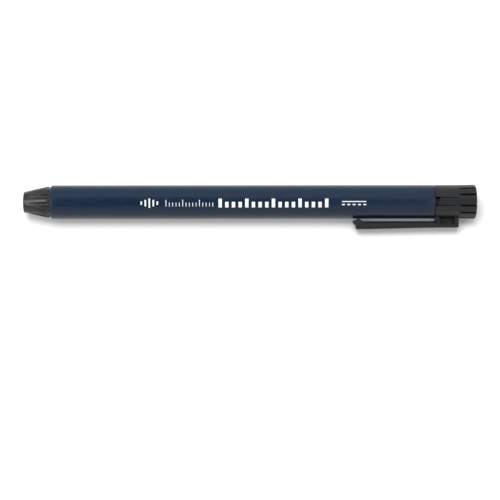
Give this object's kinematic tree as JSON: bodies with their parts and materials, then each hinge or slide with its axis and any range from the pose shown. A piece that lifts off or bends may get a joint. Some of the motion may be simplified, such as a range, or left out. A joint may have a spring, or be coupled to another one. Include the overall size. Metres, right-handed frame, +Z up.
{
  "type": "lead holder",
  "caption": "Twist-feed lead holder: ribbed screw-on nose with chuck, round barrel, pocket clip and ribbed feed knob that winds a thick marking lead out.",
  "frame": {"origin": "on the surface the holder lies on, under the middle of its bounding box", "axes": "+X along the holder from nose tip to feed knob, +Z up from the surface, clip towards -Y and resting on the surface"},
  "size_m": [0.136, 0.0134, 0.0102],
  "materials": {
    "black_plastic": "satin moulded, fine texture",
    "navy_barrel": "satin gloss",
    "marking_lead": "waxed graphite",
    "brass": "turned",
    "steel": "ground",
    "white_acetal": "moulded",
    "rubber": "moulded"
  },
  "bodies": {
    "body": {"barrel": "navy_barrel", "front_bushing": "brass", "guide_tube": "white_acetal", "rear_bushing": "black_plastic", "drag_ring": "rubber", "clip_cap": "black_plastic"},
    "chuck": {"lead_chuck": "brass", "chuck_ring": "steel"},
    "nose": {"nose_cone": "black_plastic"},
    "feed": {"lead_pusher": "white_acetal", "drive_pin": "steel", "lead_grip": "brass", "lead": "marking_lead"},
    "drive": {"spiral_sleeve": "white_acetal", "drive_plug": "white_acetal", "feed_knob": "black_plastic", "thrust_washer": "steel", "retaining_ring": "steel"},
    "clip": {"pocket_clip": "black_plastic"}
  },
  "joints": [
    {"name": "nose_advance", "type": "slide", "parent": "body", "child": "chuck", "axis": [-1, 0, 0], "range_m": [0, 0.004]},
    {"name": "nose_turn", "type": "hinge", "parent": "chuck", "child": "nose", "pos_m": [-0.06805, 0.00161, 0.00512], "axis": [-1, 0, 0], "range_deg": [0, 1441]},
    {"name": "knob_turn", "type": "hinge", "parent": "body", "child": "drive", "pos_m": [-0.06805, 0.00161, 0.00512], "axis": [-1, 0, 0], "range_deg": [0, 2161]},
    {"name": "lead_feed", "type": "slide", "parent": "body", "child": "feed", "axis": [-1, 0, 0], "range_m": [0, 0.072]},
    {"name": "clip_flex", "type": "hinge", "parent": "body", "child": "clip", "pos_m": [0.05555, -0.00466, 0.00243], "axis": [0, -0.3939, 0.9192], "range_deg": [0, 5], "stiffness_Nm_per_rad": 2.5}
  ],
  "couplings": [
    {"joint": "nose_turn", "follows": "nose_advance", "rad_per_m": 6283.2},
    {"joint": "knob_turn", "follows": "lead_feed", "rad_per_m": 523.6}
  ]
}
